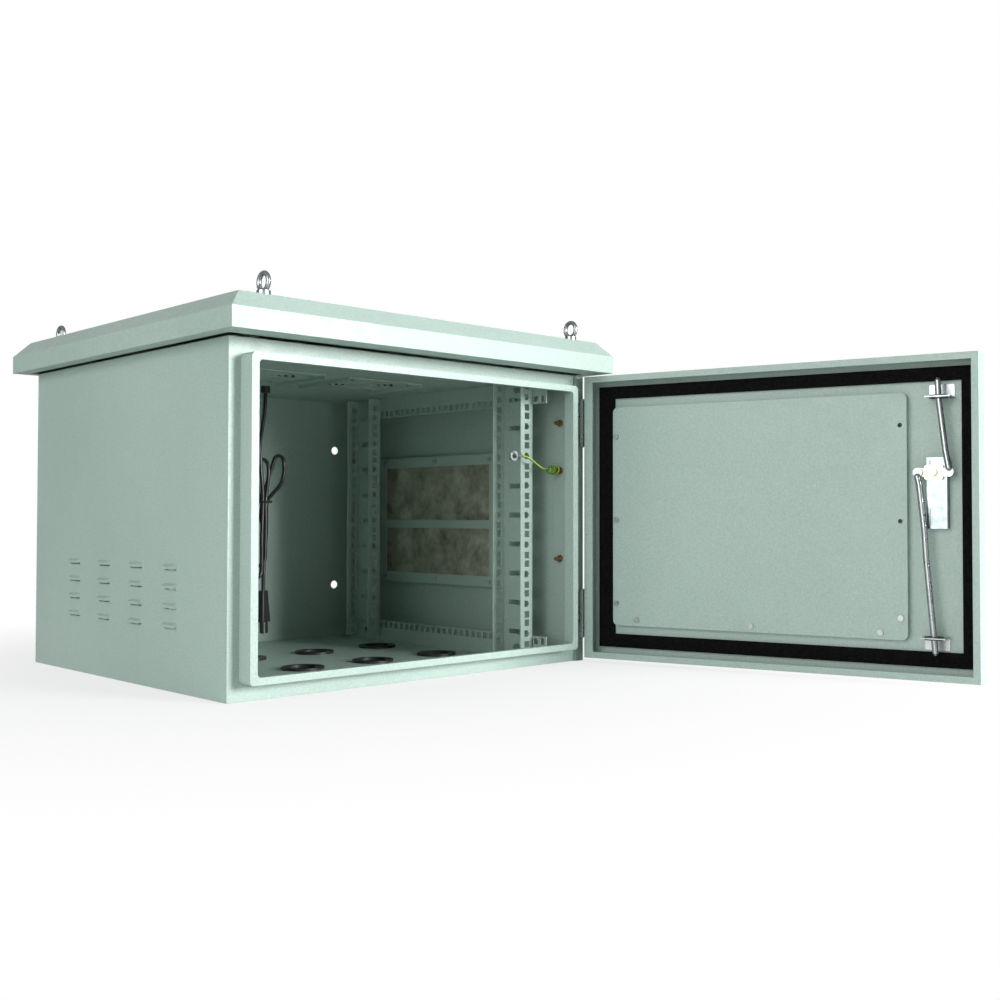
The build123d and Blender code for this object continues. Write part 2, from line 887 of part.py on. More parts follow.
# Earth wire route, from the coil to the ring terminal
earth_z = stud_heights[1]
earth_coil_x = right_x - 2 * sheet - stud_nut_height
earth_start_x = earth_coil_x - earth_coil_length
earth_y = front_y + stud_y
earth_points = [
    (earth_start_x, earth_y + 1.0, earth_z + 1.0),
    (earth_start_x - 8.0, earth_y + 1.0, earth_z + 1.0),
    (earth_start_x - 18.0, earth_y + 3.0, earth_z + 7.0),
    (earth_start_x - 29.0, earth_y + 5.0, earth_z + 15.0),
    (earth_start_x - 39.0, earth_y + 7.0, earth_z + 19.5),
    (earth_start_x - 47.0, earth_y + 7.0, earth_z + 19.5),
]

# Power cord route, from the gland down to the hank
cord_points = [
    (cord_x, cord_y, ceiling_underside - gland_height),
    (cord_x, cord_y, 391.0),
    (cord_x - 3.5, cord_y, 366.0),
    (cord_x - 9.0, cord_y - 2.5, 341.0),
    (cord_x - 12.0, cord_y - 4.6, 326.0),
    (cord_x - 12.0, cord_y - 4.6, hank_top),
]


def route(points, radius, name):
    """Round cord along straight runs that are joined by tangent arcs."""
    vectors = [Vector(*p) for p in points]
    radii = []
    for a, b, c in zip(vectors, vectors[1:], vectors[2:]):
        turn = math.radians((b - a).get_angle(c - b))
        shorter = min((b - a).length, (c - b).length)
        radii.append(0.45 * shorter / math.tan(turn / 2))
    path = FilletPolyline(*points, radius=radii)
    section = Plane(origin=points[0], z_dir=vectors[1] - vectors[0]) * Circle(radius)
    tube = sweep(section, path=path)
    ratio = tube.volume / (math.pi * radius**2 * path.length)
    print(name, "length", round(path.length, 1), "volume ratio", round(ratio, 4))
    print(name, "bend radii", [round(r) for r in radii])
    return tube


def earth_coil():
    """Outer shape of the wire's coil beside its stud."""
    return rod_x(earth_coil_radius, earth_coil_x, earth_start_x, earth_y, earth_z)


def ring_terminal():
    """Crimp barrel and flat ring at the free end of the earth wire."""
    x, y, z = earth_points[-1]
    barrel = rod_x(barrel_radius, x, x - barrel_length, y, z)
    flat = extrude(Circle(ring_radius) - Circle(ring_hole_radius), ring_half_sheet, both=True)
    ring = Pos(x - ring_offset, y, z) * Rot(90, 0, 0) * flat
    return barrel + ring


def cord_gland():
    """Short sleeve under the ceiling where the cord comes out."""
    low = ceiling_underside - gland_height
    return rod_z(gland_radius, cord_x, cord_y, low, ceiling_underside)


def hank_place():
    """Where the flat hank hangs, turned about the upright line through the gland."""
    return Pos(cord_x, cord_y, 0) * Rot(0, 0, hank_turn)


def cord_hank():
    """Outer shape of the tied hank: a small and a large loop above the tie, slack folds below."""
    half_tie = tie_height / 2 + 1.0
    outline = [
        (-16.5, hank_top),
        (-8.5, hank_top),
        (4.0, 310.0),
        (16.0, 300.0),
        (28.0, 314.0),
        (44.0, 317.0),
        (52.0, 301.0),
        (50.0, 280.0),
        (40.0, 262.0),
        (20.0, 249.0),
        (hank_neck_right, hank_neck + half_tie),
        (hank_neck_right, hank_neck - half_tie),
        (8.0, 205.0),
        (2.0, 150.0),
        (1.5, hank_bottom),
        (-6.5, hank_bottom),
        (-9.0, 122.0),
        (-31.0, 120.0),
        (-37.0, 138.0),
        (-28.0, 195.0),
        (hank_neck_left, hank_neck - half_tie),
        (hank_neck_left, hank_neck + half_tie),
        (-20.0, 272.0),
        (-20.0, 292.0),
    ]
    face = make_face(Polyline(*outline, close=True))
    return hank_place() * Rot(90, 0, 0) * extrude(face, hank_thickness / 2, both=True)


def cord_tie():
    """Cable tie round the hank's neck."""
    width = hank_neck_right - hank_neck_left + 2 * fit_gap
    depth = hank_thickness + 2 * fit_gap
    outer = Box(width + 2 * tie_wall, depth + 2 * tie_wall, tie_height)
    middle = (hank_neck_left + hank_neck_right) / 2
    return hank_place() * Pos(middle, 0, hank_neck) * (outer - Box(width, depth, 2 * tie_height))


def power_plug():
    """Moulded plug with three pins, hanging from the hank."""
    low = hank_bottom - plug_length
    body = loft(
        [
            Pos(plug_offset, 0, z) * RectangleRounded(*size, plug_corner_radius)
            for z, size in (
                (hank_bottom, plug_top),
                (hank_bottom - plug_waist_drop, plug_waist),
                (low, plug_end),
            )
        ],
        ruled=True,
    )
    pin = Box(plug_pin_width, plug_pin_sheet, plug_pin)
    for u, v in plug_pin_places:
        body += Pos(plug_offset + u, v, low - plug_pin / 2) * pin
    return hank_place() * body


# Door, drawn closed and then turned to its open rest position

def to_rest(shape):
    """Turns a piece of the closed door to the open rest position."""
    return shape.rotate(hinge_axis, rest_angle)


def door_block(s0, s1, t0, t1, z0, z1):
    """Box on the closed door: s from the hinge edge, t from the lip plane outwards."""
    return block(right_x - s0, right_x - s1, door_plane_y - t0, door_plane_y - t1, z0, z1)


def door_rod(radius, s, t0, t1, z):
    """Cylinder through the closed door's thickness."""
    return rod_y(radius, right_x - s, door_plane_y - t0, door_plane_y - t1, z)


panel_inside = door_depth - door_sheet


def door_panel():
    """Folded door pan with returns and inward lips, and the lock's cut-out."""
    pan = door_block(0, door_width, 0, door_depth, door_bottom, door_top)
    e = door_sheet
    pan -= door_block(e, door_width - e, e, panel_inside, door_bottom + e, door_top - e)
    pan -= door_block(
        hinge_lip, door_width - free_lip, -1, door_sheet + 1, door_bottom + free_lip, door_top - free_lip
    )
    half = lock_width / 2 + fit_gap
    pan -= door_block(
        lock_s - half, lock_s + half, panel_inside - 1, door_depth + 1,
        lock_low - fit_gap, lock_high + fit_gap,
    )
    return pan


def gasket_thickness():
    """Foam thickness that just meets the rain lip when the door is shut."""
    return panel_inside + door_seat_gap - lip_stand - fit_gap


def door_gasket():
    """Foam strip frame on the inside of the door."""
    t0, t1 = panel_inside - gasket_thickness(), panel_inside
    outer = door_block(gasket_hinge_side, gasket_free_side, t0, t1, gasket_bottom, gasket_top)
    inner = door_block(
        gasket_hinge_side + gasket_hinge_width, gasket_free_side - gasket_free_width, t0 - 1, t1 + 1,
        gasket_bottom + gasket_bottom_width, gasket_top - gasket_top_width,
    )
    return outer - inner


def door_cover_plate():
    """Shallow folded cover on the inside of the door."""
    s0, s1 = cover_hinge_side, cover_free_side
    width, height = s1 - s0, cover_top - cover_bottom
    middle_y = door_plane_y - panel_inside + cover_depth / 2
    centre = Pos(right_x - (s0 + s1) / 2, middle_y, (cover_bottom + cover_top) / 2)
    shape = extrude(RectangleRounded(width, height, cover_corner_radius), cover_depth / 2, both=True)
    inner_size = (width - 2 * cover_sheet, height - 2 * cover_sheet)
    hollow = extrude(RectangleRounded(*inner_size, cover_corner_radius - cover_sheet), cover_depth)
    hollow = Pos(0, 0, -cover_depth / 2 + cover_sheet) * hollow
    cover = centre * Rot(90, 0, 0) * (shape - hollow)
    holes = [
        door_rod(
            cover_hole_radius, cover_free_side - cover_edge_inset,
            panel_inside - 2 * cover_depth, panel_inside - cover_hole_radius, z,
        )
        for z in cover_hole_heights
    ]
    screws = [
        door_rod(cover_screw_radius + fit_gap, s, panel_inside - 2 * cover_depth, panel_inside, z)
        for s, z in cover_screw_places()
    ]
    return cover - holes - screws


def cover_screw_places():
    """Screw positions on the cover plate."""
    middle_s = (cover_hinge_side + cover_free_side) / 2
    ends = (cover_hinge_side + cover_row_insets[0], cover_free_side - cover_row_insets[1])
    row = [(s, cover_bottom + cover_edge_inset) for s in (ends[0], middle_s, ends[1])]
    column = [(cover_hinge_side + cover_column_inset, z) for z in cover_screw_heights]
    return row + column + [(cover_free_side - cover_edge_inset, cover_corner_screw_z)]


def cover_screws():
    """Screws and standoffs of the cover plate."""
    screws = []
    face = panel_inside - cover_depth
    for s, z in cover_screw_places():
        head = door_rod(cover_screw_head_radius, s, face - cover_screw_height, face, z)
        shank = door_rod(cover_screw_radius, s, face, panel_inside, z)
        screws.append(head + shank)
    return as_compound(screws)


# Hinges

def knuckle_stack(low):
    """Heights of the lower, middle and upper knuckles of one hinge."""
    side = (hinge_length - middle_knuckle) / 2
    return (
        (low, low + side - knuckle_gap),
        (low + side, low + side + middle_knuckle),
        (low + side + middle_knuckle + knuckle_gap, low + hinge_length),
    )


def hinge_body_leaf(low):
    """Leaf on the hinge rail with its two outer knuckles."""
    back = front_y - hinge_rail_front
    half = hinge_leaf_half
    leaf = block(hinge_x - half, hinge_x + half, back - hinge_leaf, back, low, low + hinge_length)
    lower, middle, upper = knuckle_stack(low)
    for z0, z1 in (lower, upper):
        leaf += rod_z(knuckle_radius, hinge_x, hinge_y, z0, z1)
        leaf += block(hinge_x - pin_radius, hinge_x + pin_radius, hinge_y, back - hinge_leaf, z0, z1)
    room = (middle[0] - knuckle_gap, middle[1] + knuckle_gap)
    leaf -= rod_z(knuckle_radius + fit_gap, hinge_x, hinge_y, *room)
    return leaf - rod_z(pin_radius + pin_clearance, hinge_x, hinge_y, low - 1, low + hinge_length + 1)


def hinge_door_leaf(low):
    """Leaf on the door's edge with the middle knuckle."""
    middle = knuckle_stack(low)[1]
    plate = block(
        right_x, right_x + hinge_leaf, hinge_y + hinge_leaf_gap, hinge_y - door_leaf_depth,
        low, low + hinge_length,
    )
    arm = block(right_x, hinge_x, hinge_y - hinge_leaf, hinge_y + hinge_leaf, middle[0], middle[1])
    leaf = plate + arm + rod_z(knuckle_radius, hinge_x, hinge_y, middle[0], middle[1])
    return leaf - rod_z(pin_radius + pin_clearance, hinge_x, hinge_y, low - 1, low + hinge_length + 1)


def hinge_pin(low):
    """Pin with a round head."""
    top = low + hinge_length
    pin = rod_z(pin_radius, hinge_x, hinge_y, low - pin_tail, top)
    return pin + rod_z(knuckle_radius - 1.0, hinge_x, hinge_y, top, top + pin_head_height)


# Lock

def lock_housing():
    """Flush lock body: a dished housing through the door with a bezel outside."""
    half = lock_width / 2
    t0 = panel_inside - lock_inner_depth
    body = door_block(lock_s - half, lock_s + half, t0, door_depth, lock_low, lock_high)
    bezel = door_block(
        lock_s - half - bezel_margin, lock_s + half + bezel_margin, door_depth, door_depth + bezel_stand,
        lock_low - bezel_margin, lock_high + bezel_margin,
    )
    housing = body + bezel
    dish = door_block(
        lock_s - half + lock_wall, lock_s + half - lock_wall, t0 + lock_face, door_depth + bezel_stand + 1,
        lock_low + lock_wall, lock_high - lock_wall,
    )
    s0, s1 = lock_s - lock_pad_half, lock_s + lock_pad_half
    window_z = [lock_high - offset for offset in lock_window_heights]
    pad_z = [lock_low + offset for offset in lock_pad_heights]
    window = door_block(s0, s1, t0 - 1, t0 + lock_pad_depth, *window_z)
    pad = door_block(s0, s1, t0 - 1, t0 + lock_pad_depth, *pad_z)
    boss = door_rod(shaft_radius + lock_boss_wall, cam_s, t0, door_depth - lock_boss_end, lock_z)
    bore = door_rod(shaft_radius + shaft_clearance, cam_s, t0 - 1, door_depth + 5, lock_z)
    return (housing - dish + boss) - window - pad - bore


def push_button():
    """Button at the lower end of the dish that lets the handle spring out."""
    half = lock_width / 2 - lock_wall - button_travel_gap
    low = lock_low + lock_wall + button_travel_gap
    t0 = panel_inside - lock_inner_depth + lock_face + button_room
    return door_block(lock_s - half, lock_s + half, t0, door_depth + bezel_stand, low, low + button_length)


def handle_pivot():
    """Plan position of the handle's pivot on the closed door."""
    return right_x - cam_s + handle_pivot_offset, door_plane_y - door_depth - handle_pivot_out


def lock_cam():
    """Cam plate with two arms, on the shaft that passes through the housing to the handle's ears."""
    t1 = cam_plane
    t0 = cam_plane - cam_sheet
    half, half_height = cam_plate_half, cam_height / 2
    plate = door_block(cam_s - half, cam_s + half, t0, t1, lock_z - half_height, lock_z + half_height)
    plate = fillet(plate.edges().filter_by(Axis.Y), cam_plate_corner)
    reach = cam_radius + cam_arm_end
    arms = door_block(cam_s - reach, cam_s + reach, t0, t1, lock_z - cam_arm_half, lock_z + cam_arm_half)
    arms = fillet(arms.edges().filter_by(Axis.Y), cam_arm_corner)
    shaft = door_rod(shaft_radius, cam_s, t1, door_depth + ear_base, lock_z)
    ear_start = door_depth + bezel_stand + ear_base
    head = door_rod(shaft_radius + ear_base, cam_s, ear_start, door_depth + ear_base, lock_z)
    cam = plate + arms + shaft + head
    ear_s = (cam_s + ear_inboard, cam_s - ear_outer)
    for sign in (-1, 1):
        inner_z, outer_z = lock_z + sign * ear_inner, lock_z + sign * ear_outer
        ear = door_block(*ear_s, ear_start, ear_start + ear_height, inner_z, outer_z)
        bridge = door_block(*ear_s, ear_start, ear_start + ear_base, lock_z, outer_z)
        cam += ear + bridge
        cam -= door_rod(rod_pivot_radius + shaft_clearance, cam_s + sign * cam_radius, t0 - 1, t1 + 1, lock_z)
    x, y = handle_pivot()
    return cam - rod_z(handle_pivot_radius + shaft_clearance, x, y, lock_z - 20, lock_z + 20)


def cam_screw():
    """Screw that clamps the cam plate to its shaft."""
    t0 = cam_plane - cam_sheet
    return door_rod(cam_screw_radius, cam_s, t0 - cam_screw_height, t0, lock_z)


def lock_handle():
    """Swing handle, folded out of the housing and turned across the door."""
    x, y = handle_pivot()
    half, thick = handle_width / 2, handle_thickness / 2
    start, end = x + handle_lever_start, x + handle_length
    lever = block(start, end, y - thick, y + thick, lock_z - half, lock_z + half)
    lever = fillet(lever.edges().filter_by(Axis.Y), handle_corner)
    neck_z = ear_inner - fit_gap
    neck_y = handle_neck_half
    neck = block(
        x - handle_neck_back, x + handle_neck_end, y - neck_y, y + neck_y, lock_z - neck_z, lock_z + neck_z
    )
    pivot = rod_z(handle_pivot_radius, x, y, lock_z - ear_outer, lock_z + ear_outer)
    handle = lever + neck + pivot
    return handle.rotate(Axis((x, y, 0), (0, 0, 1)), -handle_rest_angle)


def rod_eye(sign):
    """Flat eye of a rod with the pivot that sits in the cam's arm."""
    s = cam_s + sign * cam_radius
    t1 = cam_plane - cam_sheet - fit_gap
    t0 = t1 - rod_eye_thickness
    eye = door_rod(rod_eye_radius, s, t0, t1, lock_z)
    pivot = door_rod(rod_pivot_radius, s, t1, cam_plane, lock_z)
    return eye + pivot


def bent_rod(sign, path):
    """Round rod from its eye on the cam, through the bends of its path, to a tapered tip."""
    y = door_plane_y - rod_plane
    points = [(right_x - ps, y, pz) for ps, pz in path]
    line = FilletPolyline(*points, radius=rod_bend_radius)
    start = Vector(*points[1]) - Vector(*points[0])
    rod = sweep(Plane(origin=points[0], z_dir=start) * Circle(rod_radius), path=line)
    end = Vector(*points[-1]) - Vector(*points[-2])
    tip = Plane(origin=points[-1], z_dir=end) * (
        Pos(0, 0, rod_tip_length / 2) * Cone(rod_radius, rod_radius / 2, rod_tip_length)
    )
    return rod_eye(sign) + Pos(*points[0]) * Sphere(rod_radius) + rod + tip


def rod_guide(place, sign):
    """Bracket on the door panel that a rod passes through."""
    s, z = place
    s0, s1 = s - guide_width / 2, s + guide_width / 2
    shelf = door_block(s0, s1, fit_gap, panel_inside, z, z + sign * guide_sheet)
    foot = door_block(s0, s1, panel_inside - guide_sheet, panel_inside, z, z + sign * guide_height)
    hole = extrude(bush_outline(0), guide_height, both=True)
    return shelf + foot - Pos(right_x - s, door_plane_y - rod_plane, z) * hole


def bush_outline(extra):
    """Oblong outline of a guide bush."""
    return SlotCenterToCenter(2 * bush_play, 2 * (rod_radius + fit_gap + bush_wall + extra))


def guide_bush(place, sign):
    """Bush with an oblong mouth, so that the rod can swing a little as it slides."""
    s, z = place
    middle = z + sign * guide_sheet / 2
    body = extrude(bush_outline(0), guide_sheet / 2 + bush_lip, both=True)
    for side in (-1, 1):
        flange = extrude(bush_outline(bush_lip), bush_lip)
        offset = guide_sheet / 2 if side > 0 else -guide_sheet / 2 - bush_lip
        body += Pos(0, 0, offset) * flange
    mouth = extrude(SlotCenterToCenter(2 * bush_play, 2 * (rod_radius + fit_gap)), guide_height, both=True)
    return Pos(right_x - s, door_plane_y - rod_plane, middle) * (body - mouth)


def main():
    os.makedirs("parts", exist_ok=True)
    save("left_side_panel", side_panel(-1, louvre_places(left_louvre_rows, left_louvre_low_z)))
    right_places = [place for low in right_louvre_lows for place in louvre_places(right_louvre_rows, low)]
    save("right_side_panel", side_panel(1, right_places))
    save("back_panel", back_panel())
    save("floor_panel", floor_panel())
    save("ceiling_panel", ceiling_panel())
    for name, bar in front_bars().items():
        save(name, bar)
    save("hinge_rail", hinge_rail())
    save("roof_cap", roof_cap())
    corners = [(sx * roof_support_x, sy * roof_support_y) for sx in (-1, 1) for sy in (-1, 1)]
    save("roof_supports", as_compound([roof_support(x, y) for x, y in corners]))
    save("eyebolts", as_compound([eyebolt(x, y) for x, y in eye_places()]))
    for side, side_name in ((-1, "left"), (1, "right")):
        save("front_" + side_name + "_post", Pos(0, front_post_y(), 0) * rack_post(side, False))
        save("rear_" + side_name + "_post", Pos(0, rear_post_y(), 0) * rack_post(side, True))
        save("top_" + side_name + "_rail", depth_rail(side, True))
        save("bottom_" + side_name + "_rail", depth_rail(side, False))
    save("rail_bolts", rail_bolts())
    save("right_filter_frame", filter_frame(1, right_filter_windows))
    save("left_filter_frame", filter_frame(-1, left_filter_windows))
    save("filter_pads", filter_pads())
    save("filter_screws", filter_screws())
    for (x, y), side_name in zip(fan_places(), ("left", "right")):
        save(side_name + "_fan_cover", fan_cover(x, y))
        save(side_name + "_fan_frame", fan_frame(x, y))
        save(side_name + "_fan_rotor", fan_rotor(x, y))
    save("fan_screws", fan_screws())
    save("cable_grommets", as_compound([grommet(x, y) for x, y in grommet_places()]))
    save("earth_studs", earth_studs())
    save("earth_wire", route(earth_points, earth_radius, "earth wire"))
    save("earth_wire_coil", earth_coil())
    save("ring_terminal", ring_terminal())
    save("cord_gland", cord_gland())
    save("power_cord", route(cord_points, cord_radius, "power cord"))
    save("power_cord_hank", cord_hank())
    save("cord_tie", cord_tie())
    save("power_plug", power_plug())
    lows = (hinge_low_z, hinge_high_z)
    save("hinge_body_leaves", as_compound([hinge_body_leaf(low) for low in lows]))
    save("hinge_pins", as_compound([hinge_pin(low) for low in lows]))
    save("hinge_door_leaves", to_rest(as_compound([hinge_door_leaf(low) for low in lows])))
    save("door_panel", to_rest(door_panel()))
    save("door_gasket", to_rest(door_gasket()))
    save("door_cover_plate", to_rest(door_cover_plate()))
    save("cover_screws", to_rest(cover_screws()))
    save("lock_housing", to_rest(lock_housing()))
    save("push_button", to_rest(push_button()))
    save("lock_cam", to_rest(lock_cam()))
    save("cam_screw", to_rest(cam_screw()))
    save("lock_handle", to_rest(lock_handle()))
    save("upper_rod", to_rest(bent_rod(1, upper_rod_path)))
    save("lower_rod", to_rest(bent_rod(-1, lower_rod_path)))
    guides = [rod_guide(upper_guide, 1), rod_guide(lower_guide, -1)]
    save("rod_guides", to_rest(as_compound(guides)))
    bushes = [guide_bush(upper_guide, 1), guide_bush(lower_guide, -1)]
    save("guide_bushes", to_rest(as_compound(bushes)))


main()
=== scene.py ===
import bpy
import json
import math
from mathutils import Matrix, Vector

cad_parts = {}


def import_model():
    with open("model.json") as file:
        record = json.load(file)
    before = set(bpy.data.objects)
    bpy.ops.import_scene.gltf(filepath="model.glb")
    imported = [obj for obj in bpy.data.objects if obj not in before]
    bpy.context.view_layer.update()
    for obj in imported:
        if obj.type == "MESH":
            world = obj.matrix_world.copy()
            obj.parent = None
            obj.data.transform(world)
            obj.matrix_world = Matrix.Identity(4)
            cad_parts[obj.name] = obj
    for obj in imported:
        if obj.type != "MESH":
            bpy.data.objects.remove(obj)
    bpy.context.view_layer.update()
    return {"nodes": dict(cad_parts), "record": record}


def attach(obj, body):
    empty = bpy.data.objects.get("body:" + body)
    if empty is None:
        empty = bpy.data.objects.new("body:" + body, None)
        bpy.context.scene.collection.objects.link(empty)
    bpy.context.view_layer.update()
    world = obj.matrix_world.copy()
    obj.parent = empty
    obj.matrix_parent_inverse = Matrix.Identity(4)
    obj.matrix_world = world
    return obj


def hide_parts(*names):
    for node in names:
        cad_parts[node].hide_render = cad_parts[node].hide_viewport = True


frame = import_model()
nodes = frame["nodes"]

MM = 0.001

# The camera, as fitted to the photograph
CAMERA_PLACE = (-0.9924, -1.5460, 0.2199)
CAMERA_TURN = (math.radians(91.4), 0.0, math.radians(-45.5))
CAMERA_LENS = 42.89
CAMERA_SHIFT = (-0.0774, -0.0146)

# Node trees

def new_material(name):
    """An empty node material with its shader and output."""
    material = bpy.data.materials.new(name)
    material.use_nodes = True
    tree = material.node_tree
    tree.nodes.clear()
    output = tree.nodes.new("ShaderNodeOutputMaterial")
    shader = tree.nodes.new("ShaderNodeBsdfPrincipled")
    tree.links.new(shader.outputs["BSDF"], output.inputs["Surface"])
    return material, tree, shader


def coordinates(tree):
    """Object coordinates, which are metres in the row frame."""
    return tree.nodes.new("ShaderNodeTexCoord").outputs["Object"]


def noise(tree, scale, detail=2.0, roughness=0.5):
    """Noise in object coordinates, from 0 to 1."""
    node = tree.nodes.new("ShaderNodeTexNoise")
    node.inputs["Scale"].default_value = scale
    node.inputs["Detail"].default_value = detail
    node.inputs["Roughness"].default_value = roughness
    tree.links.new(coordinates(tree), node.inputs["Vector"])
    return node.outputs["Fac"]


def cells(tree, scale):
    """Distance to the nearest of many scattered points."""
    node = tree.nodes.new("ShaderNodeTexVoronoi")
    node.inputs["Scale"].default_value = scale
    tree.links.new(coordinates(tree), node.inputs["Vector"])
    return node.outputs["Distance"]


def ramp(tree, value, stops):
    """Colours along a value; stops are (place, colour)."""
    node = tree.nodes.new("ShaderNodeValToRGB")
    elements = node.color_ramp.elements
    while len(elements) < len(stops):
        elements.new(0.5)
    for element, (place, colour) in zip(elements, stops):
        element.position = place
        element.color = (*colour, 1.0)
    tree.links.new(value, node.inputs["Fac"])
    return node.outputs["Color"]


def spread(tree, value, low, high, low_out, high_out):
    """A value moved from one range to another."""
    node = tree.nodes.new("ShaderNodeMapRange")
    limits = {"From Min": low, "From Max": high, "To Min": low_out, "To Max": high_out}
    for name, number in limits.items():
        node.inputs[name].default_value = number
    tree.links.new(value, node.inputs["Value"])
    return node.outputs["Result"]


def bump(tree, shader, height, strength, distance):
    """Fine relief on a shader, over any relief it already has."""
    node = tree.nodes.new("ShaderNodeBump")
    node.inputs["Strength"].default_value = strength
    node.inputs["Distance"].default_value = distance
    tree.links.new(height, node.inputs["Height"])
    normal = shader.inputs["Normal"]
    if normal.is_linked:
        tree.links.new(normal.links[0].from_socket, node.inputs["Normal"])
    tree.links.new(node.outputs["Normal"], normal)


def multiply(tree, colour, value, low, high):
    """A colour made darker and lighter along a value."""
    scale = tree.nodes.new("ShaderNodeVectorMath")
    scale.operation = "SCALE"
    tree.links.new(colour, scale.inputs[0])
    tree.links.new(spread(tree, value, 0.3, 0.7, low, high), scale.inputs["Scale"])
    return scale.outputs["Vector"]


def edges(tree, shader, colour, edge_highlight, radius):
    """Rounds the sharp edges in the shading and paints a highlight on them as a lighter paint colour."""
    bevel = tree.nodes.new("ShaderNodeBevel")
    bevel.inputs["Radius"].default_value = radius
    bevel.samples = 3
    tree.links.new(bevel.outputs["Normal"], shader.inputs["Normal"])
    geometry = tree.nodes.new("ShaderNodeNewGeometry")
    dot = tree.nodes.new("ShaderNodeVectorMath")
    dot.operation = "DOT_PRODUCT"
    tree.links.new(bevel.outputs["Normal"], dot.inputs[0])
    tree.links.new(geometry.outputs["Normal"], dot.inputs[1])
    # Painted highlight: the paint turns lighter where the rounded shading normal bends away from the
    # face's own normal.
    mask = spread(tree, dot.outputs["Value"], 0.75, 0.99, 1.0, 0.0)
    mix = tree.nodes.new("ShaderNodeMix")
    mix.data_type = "RGBA"
    tree.links.new(mask, mix.inputs["Factor"])
    tree.links.new(colour, mix.inputs["A"])
    mix.inputs["B"].default_value = (*edge_highlight, 1.0)
    return mix.outputs["Result"]


def powder_coat(name, dark, light, rough):
    """Fine orange-peel powder coat with light speckles."""
    material, tree, shader = new_material(name)
    colour = ramp(tree, noise(tree, 3.0, 3.0), [(0.3, dark), (0.7, light)])
    colour = multiply(tree, colour, noise(tree, 380.0, 2.0, 0.6), 0.91, 1.09)
    colour = multiply(tree, colour, noise(tree, 1100.0, 1.0), 0.94, 1.06)
    # Painted highlight colour for the rounded edges: the light paint made 30% brighter.
    edge_highlight = tuple(min(1.0, channel * 1.3) for channel in light)
    tree.links.new(edges(tree, shader, colour, edge_highlight, 0.0009), shader.inputs["Base Color"])
    gloss = spread(tree, noise(tree, 60.0), 0.3, 0.7, rough - 0.06, rough + 0.06)
    tree.links.new(gloss, shader.inputs["Roughness"])
    shader.inputs["Specular IOR Level"].default_value = 0.5
    bump(tree, shader, noise(tree, 480.0, 3.0, 0.6), 0.4, 0.0005)
    return material


def metal(name, colour, rough, scratch=0.15):
    """Plated or bare metal with fine scratches and smudges."""
    material, tree, shader = new_material(name)
    dark = tuple(channel * 0.82 for channel in colour)
    tone = ramp(tree, noise(tree, 45.0, 4.0), [(0.3, dark), (0.65, colour)])
    tree.links.new(tone, shader.inputs["Base Color"])
    shader.inputs["Metallic"].default_value = 1.0
    gloss = spread(tree, noise(tree, 120.0, 4.0), 0.3, 0.7, rough * 0.7, rough * 1.4)
    tree.links.new(gloss, shader.inputs["Roughness"])
    bump(tree, shader, noise(tree, 900.0, 3.0), scratch, 0.0001)
    return material


def foam():
    """Closed-cell black foam."""
    material, tree, shader = new_material("foam")
    tree.links.new(
        ramp(tree, noise(tree, 250.0, 5.0), [(0.35, (0.002, 0.002, 0.002)), (0.7, (0.007, 0.007, 0.007))]),
        shader.inputs["Base Color"],
    )
    shader.inputs["Roughness"].default_value = 0.9
    shader.inputs["Specular IOR Level"].default_value = 0.08
    bump(tree, shader, cells(tree, 900.0), 0.5, 0.0004)
    bump(tree, shader, noise(tree, 28.0), 0.4, 0.003)
    return material


def polymer(name, colour, rough):
    """Moulded plastic or rubber with a faint grain."""
    material, tree, shader = new_material(name)
    dark = tuple(channel * 0.7 for channel in colour)
    tone = ramp(tree, noise(tree, 80.0, 3.0), [(0.3, dark), (0.7, colour)])
    tree.links.new(tone, shader.inputs["Base Color"])
    shader.inputs["Roughness"].default_value = rough
    bump(tree, shader, noise(tree, 700.0, 2.0), 0.2, 0.0002)
    return material


def filter_mat():
    """Dusty grey-brown fibre mat with paler veins and patches."""
    material, tree, shader = new_material("filter_mat")
    patches = ramp(
        tree, noise(tree, 26.0, 8.0, 0.72),
        [
            (0.30, (0.12, 0.115, 0.08)),
            (0.47, (0.27, 0.265, 0.20)),
            (0.60, (0.38, 0.375, 0.30)),
            (0.74, (0.62, 0.61, 0.54)),
        ],
    )
    tree.links.new(patches, shader.inputs["Base Color"])
    shader.inputs["Roughness"].default_value = 0.95
    bump(tree, shader, noise(tree, 420.0, 6.0, 0.7), 0.9, 0.0012)
    bump(tree, shader, noise(tree, 34.0, 5.0), 0.7, 0.004)
    return material


def earth_sleeve():
    """Green wire sleeve with a yellow stripe."""
    material, tree, shader = new_material("earth_sleeve")
    stripe = tree.nodes.new("ShaderNodeTexCoord").outputs["UV"]
    split = tree.nodes.new("ShaderNodeSeparateXYZ")
    tree.links.new(stripe, split.inputs["Vector"])
    wave = tree.nodes.new("ShaderNodeMath")
    wave.operation = "PINGPONG"
    wave.inputs[1].default_value = 0.5
    tree.links.new(split.outputs["Y"], wave.inputs[0])
    colour = ramp(tree, wave.outputs["Value"], [(0.22, (0.06, 0.26, 0.02)), (0.28, (0.62, 0.62, 0.03))])
    tree.links.new(colour, shader.inputs["Base Color"])
    shader.inputs["Roughness"].default_value = 0.4
    bump(tree, shader, noise(tree, 500.0), 0.15, 0.0002)
    return material


MINT_DARK = (0.335, 0.440, 0.393)
MINT_LIGHT = (0.375, 0.480, 0.435)

